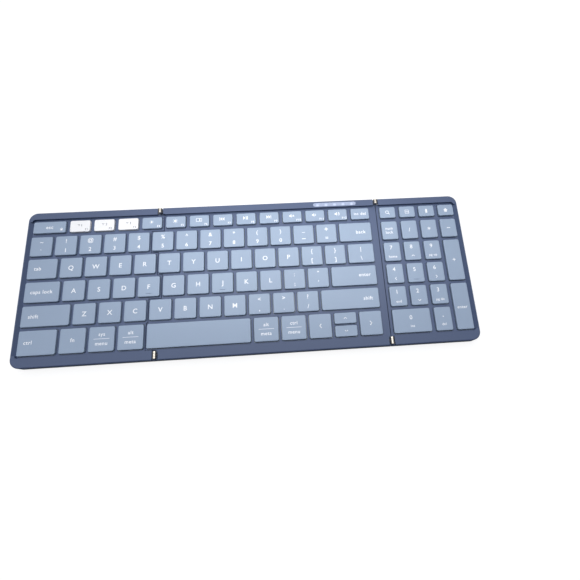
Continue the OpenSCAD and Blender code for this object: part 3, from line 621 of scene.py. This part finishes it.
# %% [markdown]
# ## Legends
#
# The legends are raised from the cap by the thickness of the ink. Each starts as a text curve
# in Blender's own plain font, made a little bolder and wider set to match the real print, and
# is turned into a mesh. A font's size is not the height of its capitals, so that height was
# measured once and every legend is scaled by it.

# %% Shape a line of text
FONT_CAP_HEIGHT = 0.73  # at a font size of 1
BOLD = 0.014
LETTER_SPACING = 1.08
CURVE_STEPS = 3


def glyphs(text, height):
    """A bmesh of a line of text, centred on the origin, with capitals of the given height."""
    curve = bpy.data.curves.new("legend", "FONT")
    curve.body = text
    curve.align_x = "CENTER"
    curve.size = 1.0
    curve.offset = BOLD
    curve.space_character = LETTER_SPACING
    curve.extrude = 0.5
    curve.resolution_u = CURVE_STEPS
    thing = bpy.data.objects.new("legend", curve)
    bpy.context.scene.collection.objects.link(thing)
    mesh = bpy.data.meshes.new_from_object(thing.evaluated_get(bpy.context.evaluated_depsgraph_get()))
    bm = bmesh.new()
    bm.from_mesh(mesh)
    scale = height / FONT_CAP_HEIGHT
    xs = [v.co.x for v in bm.verts]
    middle = (min(xs) + max(xs)) / 2 if xs else 0
    for v in bm.verts:
        v.co = ((v.co.x - middle) * scale, (v.co.y - FONT_CAP_HEIGHT / 2) * scale, v.co.z)
    bpy.data.objects.remove(thing)
    bpy.data.curves.remove(curve)
    bpy.data.meshes.remove(mesh)
    return bm


# %% [markdown]
# ## Laying a legend down
#
# A legend has a front and a back at first, one unit apart. Each corner is dropped on the dished
# face right under it, and then its front is raised by the film's thickness and its back sunk by
# as much, so that no gap shows beneath. Places on a cap are given as shares of its length and
# depth, counted from its back left corner.

# %% Lay one legend on a cap
INK_T = 0.03 * MM


def face_height(x, y, low, high):
    """Height of a cap's dished face at a point."""
    edge = min(x - low.x, high.x - x, y - low.y, high.y - y)
    t = min(max((edge - DRAFT - EDGE_R) / (dish_reach(low, high) - DRAFT - EDGE_R), 0), 1)
    return dish_height(t)


def lay(target, bm, box, along, across):
    """Moves a legend to a place on a cap, given as shares of the face, and adds it to target."""
    low, high = box
    x0 = low.x + (high.x - low.x) * along
    y0 = high.y - (high.y - low.y) * across
    for v in bm.verts:
        x, y = v.co.x + x0, v.co.y + y0
        v.co = (x, y, face_height(x, y, low, high) + (INK_T if v.co.z > 0 else -INK_T))
    mesh = bpy.data.meshes.new("part_of_legend")
    bm.to_mesh(mesh)
    bm.free()
    target.from_mesh(mesh)
    bpy.data.meshes.remove(mesh)


# %% [markdown]
# ## Small signs
#
# The back row also carries small signs: a sun for brightness, bars and wedges for playing
# music, a horn for loudness. They are drawn from a few convex outlines each: a disc, a
# stroke with square ends, an arc of short strokes. Each is drawn round the origin, about one
# unit high, and the outlines are given a front and a back like the text has.

# %% Draw with discs and strokes
THIN = 0.09
DISC_SIDES = 16
WEDGE_W = 0.42
WEDGE_H = 0.8


def disc(x, y, r):
    """A circle of short sides round (x, y)."""
    turns = [2 * math.pi * i / DISC_SIDES for i in range(DISC_SIDES)]
    return [(x + r * math.cos(a), y + r * math.sin(a)) for a in turns]


def stroke(x0, y0, x1, y1, w=0.1):
    """A straight line of width w with square ends."""
    d = Vector((x1 - x0, y1 - y0)).normalized() * w / 2
    return [(x0 + d.y, y0 - d.x), (x1 + d.y, y1 - d.x), (x1 - d.y, y1 + d.x), (x0 - d.y, y0 + d.x)]


def arc(x, y, r, start, stop, w=0.1, steps=6):
    """Short strokes along an arc from start to stop, in degrees."""
    angles = [math.radians(start + (stop - start) * i / steps) for i in range(steps + 1)]
    ends = [(x + r * math.cos(a), y + r * math.sin(a)) for a in angles]
    return [stroke(*a, *b, w) for a, b in zip(ends, ends[1:])]


def rays(count, near, far):
    """Strokes that point away from the middle, all round it."""
    turns = [2 * math.pi * i / count for i in range(count)]
    ways = [(math.cos(a), math.sin(a)) for a in turns]
    return [stroke(near * x, near * y, far * x, far * y, THIN) for x, y in ways]


def wedge(x, way=1):
    """A triangle that points right, or left where way is -1."""
    tail, tip = x - way * WEDGE_W / 2, x + way * WEDGE_W / 2
    return [(tail, -WEDGE_H / 2), (tip, 0), (tail, WEDGE_H / 2)][::way]


def frame_of(x0, y0, x1, y1):
    """The four sides of a rectangle."""
    corners = [(x0, y0), (x1, y0), (x1, y1), (x0, y1)]
    return [stroke(*a, *b, THIN) for a, b in zip(corners, corners[1:] + corners[:1])]


def polygons(shapes, height):
    """A bmesh of flat convex outlines, drawn in units of the given height round the origin."""
    bm = bmesh.new()
    for outline in shapes:
        rims = []
        for z in (-0.5, 0.5):
            rims.append([bm.verts.new((x * height, y * height, z)) for x, y in outline])
        bm.faces.new(reversed(rims[0]))
        bm.faces.new(rims[1])
        count = len(outline)
        for i in range(count):
            j = (i + 1) % count
            bm.faces.new((rims[0][i], rims[0][j], rims[1][j], rims[1][i]))
    bmesh.ops.recalc_face_normals(bm, faces=bm.faces)
    return bm


# %% [markdown]
# ## The signs themselves
#
# With these helpers a sign is one line. The three loudness signs share a horn, which is a small
# box and a funnel in front of it.

# %% Draw the signs
horn = [
    [(-0.5, -0.15), (-0.3, -0.15), (-0.3, 0.15), (-0.5, 0.15)],
    [(-0.3, -0.15), (0, -0.42), (0, 0.42), (-0.3, 0.15)],
]
SIGNS = {
    "dim": [disc(0, 0, 0.2)] + rays(8, 0.3, 0.4),
    "bright": [disc(0, 0, 0.26)] + rays(8, 0.36, 0.52),
    "panes": frame_of(-0.55, -0.35, 0.15, 0.35) + frame_of(0.25, -0.35, 0.6, 0.35),
    "previous": [stroke(-0.5, -0.4, -0.5, 0.4, 0.12), wedge(-0.2, -1), wedge(0.25, -1)],
    "play": [wedge(-0.25), stroke(0.15, -0.4, 0.15, 0.4, 0.14), stroke(0.42, -0.4, 0.42, 0.4, 0.14)],
    "next": [wedge(-0.25), wedge(0.2), stroke(0.5, -0.4, 0.5, 0.4, 0.12)],
    "mute": horn + [stroke(0.2, -0.2, 0.55, 0.2), stroke(0.2, 0.2, 0.55, -0.2)],
    "softer": horn + arc(0, 0, 0.3, -50, 50),
    "louder": horn + arc(0, 0, 0.3, -50, 50) + arc(0, 0, 0.52, -50, 50),
    "lock": [stroke(-0.3, -0.2, 0.3, -0.2, 0.5)] + arc(0, 0.08, 0.24, 0, 180, 0.12),
    "search": arc(-0.08, 0.08, 0.32, 0, 360, 0.12, 14) + [stroke(0.15, -0.15, 0.45, -0.45, 0.15)],
    "sheet": frame_of(-0.4, -0.4, 0.4, 0.4) + [stroke(x, -0.15, x, 0.15) for x in (-0.2, 0.02, 0.22)],
    "cell": [stroke(0, -0.45, 0, 0.35, 0.42), stroke(0, 0.35, 0, 0.5, 0.2)],
    "home": [[(-0.5, 0.0), (0.5, 0.0), (0, 0.45)], stroke(0, -0.42, 0, 0.02, 0.6)],
    "waves": [disc(0, -0.3, 0.12)] + arc(0, -0.3, 0.4, 45, 135, 0.12) + arc(0, -0.3, 0.68, 45, 135, 0.12),
    "up": [stroke(-0.42, -0.2, 0.05, 0.22, 0.16), stroke(-0.05, 0.22, 0.42, -0.2, 0.16)],
    "down": [stroke(-0.42, 0.2, 0.05, -0.22, 0.16), stroke(-0.05, -0.22, 0.42, 0.2, 0.16)],
    "left": [stroke(0.2, 0.42, -0.22, -0.05, 0.16), stroke(-0.22, 0.05, 0.2, -0.42, 0.16)],
    "right": [stroke(-0.2, 0.42, 0.22, -0.05, 0.16), stroke(0.22, 0.05, -0.2, -0.42, 0.16)],
    "line": [stroke(-1.95, 0, 1.95, 0, 0.1)],
    "minus": [stroke(-0.42, 0, 0.42, 0, 0.18)],
}
print("drew", len(SIGNS), "signs")

# %% [markdown]
# ## What stands on each key
#
# The legends are listed set by set, in the order of the islands. Letters are centred. A key
# with two marks has one in its upper and one in its lower half. Long keys carry small words,
# most of them towards the outer side of the board. A sign's name starts with a colon, and each
# legend has its text or sign, its height, and its place along and across the cap.

# %% List the legends
LETTER = 3.8 * MM
MARK = 3.4 * MM
WORD = 3.0 * MM
SMALL = 2.1 * MM
TINY = 1.9 * MM
SIGN = 3.9 * MM
POINTER = 2.8 * MM
HIGH = 0.26
LOW = 0.74


def letter(c):
    """One letter in the middle."""
    return [(c, LETTER, 0.5, 0.5)]


def pair(upper_mark, lower_mark):
    """The mark typed with shift held, over the one typed without."""
    return [(upper_mark, MARK, 0.5, HIGH), (lower_mark, MARK, 0.5, LOW)]


def sign_key(sign, label):
    """A sign with the function key's number in the front right corner."""
    return [(":" + sign, SIGN, 0.47, 0.42), (label, TINY, 0.84, 0.8)]


def two_words(upper_word, lower_word):
    """Two words with a line between them."""
    return [
        (upper_word, WORD * 0.95, 0.5, 0.3),
        (":line", WORD, 0.5, 0.49),
        (lower_word, WORD * 0.95, 0.5, 0.67),
    ]


def pad_number(digit, below):
    """A digit of the number pad, with what the key does when the digits are switched off."""
    return [(digit, MARK, 0.45, 0.27), (below, POINTER if below.startswith(":") else SMALL, 0.5, 0.76)]


LEGENDS = {
    "esc_and_f4_keys": [
        [("esc", WORD, 0.5, 0.48), (":lock", POINTER, 0.87, 0.68)],
        sign_key("dim", "F4"),
    ],
    "device_keys": [
        [(":waves", SMALL, 0.44, 0.42), ("1", SMALL, 0.57, 0.42), ("F1", TINY, 0.82, 0.8)],
        [(":waves", SMALL, 0.44, 0.42), ("2", SMALL, 0.6, 0.42), ("F2", TINY, 0.82, 0.8)],
        [(":waves", SMALL, 0.44, 0.42), ("3", SMALL, 0.6, 0.42), ("F3", TINY, 0.82, 0.8)],
    ],
    "left_number_keys": [pair("~", "`"), pair("!", "1"), pair("@", "2"), pair("#", "3"), pair("$", "4")],
    "tab_key": [[("tab", WORD, 0.34, 0.47)]],
    "left_upper_letter_keys": [letter(c) for c in "QWER"],
    "caps_lock_key": [[("caps lock", WORD, 0.49, 0.48)]],
    "left_home_letter_keys": [letter(c) for c in "ASDF"],
    "left_shift_key": [[("shift", WORD, 0.25, 0.5)]],
    "left_lower_letter_keys": [letter(c) for c in "ZXC"],
    "left_modifier_keys": [
        [("ctrl", WORD, 0.26, 0.47)], [("fn", WORD, 0.5, 0.47)],
        two_words("sys", "menu"), two_words("alt", "meta"),
    ],
    "function_keys": [
        sign_key("bright", "F5"), sign_key("panes", "F6"),
        sign_key("previous", "F7"), sign_key("play", "F8"),
        sign_key("next", "F9"), sign_key("mute", "F10"),
        sign_key("softer", "F11"), sign_key("louder", "F12"),
        [("ins", SMALL * 1.15, 0.3, 0.48), ("del", WORD * 0.9, 0.68, 0.48)],
    ],
    "number_keys": [
        *(pair(a, b) for a, b in zip("%^&*()", "567890")),
        pair("_", ":minus"), [("+", MARK * 1.3, 0.5, HIGH), ("=", MARK, 0.5, LOW)],
    ],
    "backspace_key": [[("back", WORD, 0.67, 0.5)]],
    "upper_letter_keys": [letter(c) for c in "TYUIOP"] + [pair("{", "["), pair("}", "]")],
    "backslash_key": [pair("|", "\\")],
    "home_letter_keys": [letter(c) for c in "GHJKL"] + [pair(":", ";"), pair('"', "'")],
    "enter_key": [[("enter", WORD, 0.74, 0.46)]],
    "lower_letter_keys": [letter(c) for c in "VBNM"] + [pair("<", ","), pair(">", "."), pair("?", "/")],
    "right_shift_key": [[("shift", WORD, 0.81, 0.5)]],
    "right_modifier_keys": [two_words("alt", "meta"), two_words("ctrl", "menu")],
    "arrow_keys": [
        [(":left", LETTER, 0.5, 0.5)], [(":up", POINTER, 0.5, 0.5)], [(":right", LETTER, 0.5, 0.5)],
        [(":down", POINTER, 0.5, 0.5)],
    ],
    "numpad_top_keys": [
        [(":search", SIGN, 0.5, 0.5)], [(":sheet", SIGN, 0.5, 0.5)], [(":cell", SIGN, 0.5, 0.5)],
        [(":home", SIGN, 0.5, 0.5)],
        [("num", SMALL * 1.2, 0.48, 0.38), ("lock", SMALL * 1.2, 0.48, 0.6)], [("/", MARK, 0.5, 0.5)],
        [("*", MARK * 1.25, 0.5, 0.54)], [(":minus", MARK, 0.5, 0.5)],
    ],
    "numpad_digit_keys": [
        pad_number("7", "home"), pad_number("8", ":up"), pad_number("9", "pg up"),
        pad_number("4", ":left"), [("5", MARK, 0.45, 0.32)], pad_number("6", ":right"),
        pad_number("1", "end"), pad_number("2", ":down"), pad_number("3", "pg dn"),
    ],
    "numpad_zero_and_point_keys": [
        [("0", MARK, 0.48, 0.36), ("ins", SMALL, 0.5, 0.72)],
        [(".", MARK * 1.3, 0.5, 0.3), ("del", SMALL, 0.5, 0.72)],
    ],
    "numpad_tall_keys": [[("+", MARK * 1.1, 0.5, 0.5)], [("enter", WORD * 0.85, 0.5, 0.52)]],
}
print("legends for", sum(map(len, LEGENDS.values())), "caps; the space bar stays bare")

# %% [markdown]
# ## Printing
#
# Legends on one set of caps are joined into one object, which rides on the same body as the
# caps and so travels with them.

# %% Print the legends
total = 0
for node_name, rows in LEGENDS.items():
    assert len(rows) == len(keys[node_name]), (node_name, len(rows), len(keys[node_name]))
    sheet = bmesh.new()
    for legends, box in zip(rows, keys[node_name]):
        for text, height, along, across in legends:
            is_sign = text.startswith(":") and len(text) > 1
            drawn = polygons(SIGNS[text[1:]], height) if is_sign else glyphs(text, height)
            lay(sheet, drawn, box, along, across)
            total += 1
    mesh = bpy.data.meshes.new("legends_of_" + node_name)
    sheet.to_mesh(mesh)
    sheet.free()
    ink, slot = (grey_ink, "white_keycap") if node_name == "device_keys" else (white_ink, "blue_keycap")
    add_piece("legends_of_" + node_name, mesh, ink, body_of_node[node_name])
print("printed", total, "legends")

# %% [markdown]
# ## Ribbon cables across the folds
#
# A flat cable runs from the circuit board into each side panel. It has to bend each time the
# panel folds, and it can do so only where it lies free, in the gap between the two panels. The
# real one has some slack there. Here the part of the strip that crosses the gap is cut into
# many short lengths, and the strip lies flat where the construction model's ribbon lay.

# %% Build the ribbons
HALF_GAP = 0.25 * MM
RIBBON_STEPS = 30


def ribbon_mesh(name, low, high, gap_x):
    """A thin strip with close cuts in the gap between two panels and wider ones away from it."""
    near = [gap_x + HALF_GAP * 2 * (i / RIBBON_STEPS - 0.5) for i in range(RIBBON_STEPS + 1)]
    cuts = [low.x, (low.x + near[0]) / 2, *near, (high.x + near[-1]) / 2, high.x]
    section = [(low.y, low.z), (high.y, low.z), (high.y, high.z), (low.y, high.z)]
    verts = [(x, y, z) for x in cuts for y, z in section]
    faces = [(3, 2, 1, 0), tuple(len(verts) - 4 + i for i in range(4))]
    for k in range(len(cuts) - 1):
        for i in range(4):
            j = (i + 1) % 4
            faces.append((4 * k + i, 4 * k + j, 4 * k + 4 + j, 4 * k + 4 + i))
    mesh = bpy.data.meshes.new(name)
    mesh.from_pydata(verts, [], faces)
    mesh.validate()
    return mesh


left_gap_x = (keys["left_number_keys"][-1][1].x + keys["number_keys"][0][0].x) / 2
right_gap_x = next(j["pos_m"][0] for j in frame["joints"] if j["child"] == "right_panel")
ribbons = (
    ("left", left_gap_x, "centre_panel", "left_panel"),
    ("right", right_gap_x, "right_panel", "centre_panel"),
)
for side, gap_x, body_right_of_gap, body_left_of_gap in ribbons:
    low, high = (Vector(corner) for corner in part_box(side + "_ribbon"))
    mesh = ribbon_mesh(side + "_flat_cable", low, high, gap_x)
    piece = bpy.data.objects.new(side + "_flat_cable", mesh)
    bpy.context.scene.collection.objects.link(piece)
    mesh.materials.append(coverlay)
    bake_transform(piece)
    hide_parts(side + "_ribbon")
print("ribbons bend in a gap", 2 * HALF_GAP / MM, "mm wide at each fold")

# %% [markdown]
# ## Table
#
# The keyboard lies on a plain white table in even studio light, and in the photograph the table
# burns out to white. More light would wash out the keys too, so the table is white only for
# the camera: the Light Path node tells the camera's rays from the rest. A share of its lit
# surface still shows, and keeps the soft shadow round the casing. All other rays meet a
# grey surface, so the table throws little light back at the casing's sides, which stay dark.

# %% Table
TABLE_SIZE = 3.0
TABLE_DROP = 0.05 * MM  # a hair under the feet, so that no faces coincide
LIT_SHARE = 0.25
GLOW = 1.15


def white_table(name):
    """A surface that the camera sees as white with a faint shadow, and other rays see as grey."""
    material, tree, shader = new_material(name)
    shader.inputs["Base Color"].default_value = linear("#a4a6aa")
    shader.inputs["Roughness"].default_value = 0.9
    grain = add_node(tree, "TexNoise", {"Scale": 1 / (2 * MM), "Detail": 2.0})
    paint = add_node(
        tree, "Mix", {"Factor": grain.outputs["Fac"], "A": linear("#f6f6f6"), "B": linear("#f2f2f2")},
        data_type="RGBA",
    )
    lit = add_node(tree, "BsdfDiffuse", {"Color": paint.outputs[2]})
    glow = add_node(tree, "Emission", {"Color": (1, 1, 1, 1), "Strength": GLOW})
    seen = add_node(tree, "MixShader", {0: LIT_SHARE, 1: glow.outputs[0], 2: lit.outputs[0]})
    path = add_node(tree, "LightPath")
    either = add_node(
        tree, "MixShader", {0: path.outputs["Is Camera Ray"], 1: shader.outputs[0], 2: seen.outputs[0]}
    )
    tree.links.new(either.outputs[0], tree.nodes["Material Output"].inputs["Surface"])
    return material


bm = bmesh.new()
bmesh.ops.create_grid(bm, x_segments=4, y_segments=4, size=TABLE_SIZE / 2)
for v in bm.verts:
    v.co.z = -TABLE_DROP
table_mesh = bpy.data.meshes.new("table_top")
bm.to_mesh(table_mesh)
bm.free()
table_mesh.materials.append(white_table("white_table_paint"))
table = bpy.data.objects.new("table_top", table_mesh)
bpy.context.scene.collection.objects.link(table)
print("table", TABLE_SIZE, "m wide")

# %% [markdown]
# ## Light
#
# The light comes from above. A softbox with a grid, which keeps its beam narrow, hangs over the
# back rows and adds the glow in the upper middle of the board.

# %% Softbox
SOFTBOX_PLACE = (0.02, 0.045, 0.4)
SOFTBOX_AIM = (0.02, 0.045, 0)
SOFTBOX_SIZE = (0.26, 0.05)
SOFTBOX_WATTS = 0.053
SOFTBOX_SPREAD = 34


def add_softbox(name, place, aim, size, watts, spread):
    """A rectangular area lamp turned towards a point, its beam narrowed to a spread in degrees."""
    lamp = bpy.data.lights.new(name, "AREA")
    lamp.shape = "RECTANGLE"
    lamp.size, lamp.size_y = size
    lamp.energy = watts
    lamp.spread = math.radians(spread)
    softbox = bpy.data.objects.new(name, lamp)
    softbox.location = place
    softbox.rotation_euler = (Vector(aim) - Vector(place)).to_track_quat("-Z", "Y").to_euler()
    bpy.context.scene.collection.objects.link(softbox)
    return softbox


softbox = add_softbox(
    "gridded_strip_softbox", SOFTBOX_PLACE, SOFTBOX_AIM, SOFTBOX_SIZE, SOFTBOX_WATTS, SOFTBOX_SPREAD
)
print("softbox", softbox.location.z, "m over the table")

# %% [markdown]
# ## Sky
#
# The rest of the light is a broad dome. It leans back by 20 degrees and a little to the left. It
# is at its full strength to 30 degrees from its axis, and has faded to dusk at 57 degrees. So
# the tops of the keys are bright and their sides dark, and each polished barrel has one white
# streak with a dark band on both sides. The cosine of the angle from the axis is the dot
# product of the ray's direction and the axis, which is all that the shader has to work out.

# %% Dome
DOME_AXIS = Vector((-0.06, 0.342, 0.94)).normalized()
DOME_EDGE = 0.54  # the cosine of 57 degrees
DOME_FULL = 0.87  # the cosine of 30 degrees
DUSK = 0.02
DOME_STRENGTH = 1.8

world = bpy.data.worlds.new("studio_air")
world.use_nodes = True
air = world.node_tree
sky = air.nodes["Background"]
sky.inputs["Color"].default_value = linear("#f4f7ff")
way = add_node(air, "TexCoord").outputs["Generated"]
toward_dome = add_node(air, "VectorMath", {0: way, 1: DOME_AXIS}, operation="DOT_PRODUCT")
edge_and_full = {"From Min": DOME_EDGE, "From Max": DOME_FULL, "To Min": DUSK, "To Max": DOME_STRENGTH}
fade = add_node(air, "MapRange", {"Value": toward_dome.outputs["Value"], **edge_and_full})
path = add_node(air, "LightPath")
seen_sky = add_node(
    air, "MixRGB", {0: path.outputs["Is Camera Ray"], 1: fade.outputs[0], 2: (1, 1, 1, 1)}
)
air.links.new(seen_sky.outputs[0], sky.inputs["Strength"])
bpy.context.scene.world = world
bpy.context.scene.view_settings.view_transform = "Standard"
print("dome leans back by", round(math.degrees(math.atan2(DOME_AXIS.y, DOME_AXIS.z))), "degrees")

# %% [markdown]
# ## Camera
#
# The place and lens of the camera were worked out from the key grid: the keys lie 19 mm apart
# on the real thing, so the picture of their rows tells where the lens was. It hung close over
# the board, a little to the right of the middle, so the left side looks stretched.

# %% Camera
CAMERA_PLACE = (0.03079, -0.10352, 0.31476)
CAMERA_TURN = (16.283, -2.261, -3.923)
LENS_MM = 24.997
SENSOR_MM = 36
SHIFT_X = -0.0403

camera_data = bpy.data.cameras.new("studio_camera")
camera_data.sensor_width = SENSOR_MM
camera_data.lens = LENS_MM
camera_data.shift_x = SHIFT_X
camera = bpy.data.objects.new("studio_camera", camera_data)
camera.location = CAMERA_PLACE
camera.rotation_euler = Euler([math.radians(a) for a in CAMERA_TURN])
bpy.context.scene.collection.objects.link(camera)
bpy.context.scene.camera = camera
print("camera at", CAMERA_PLACE, "lens", LENS_MM, "mm")
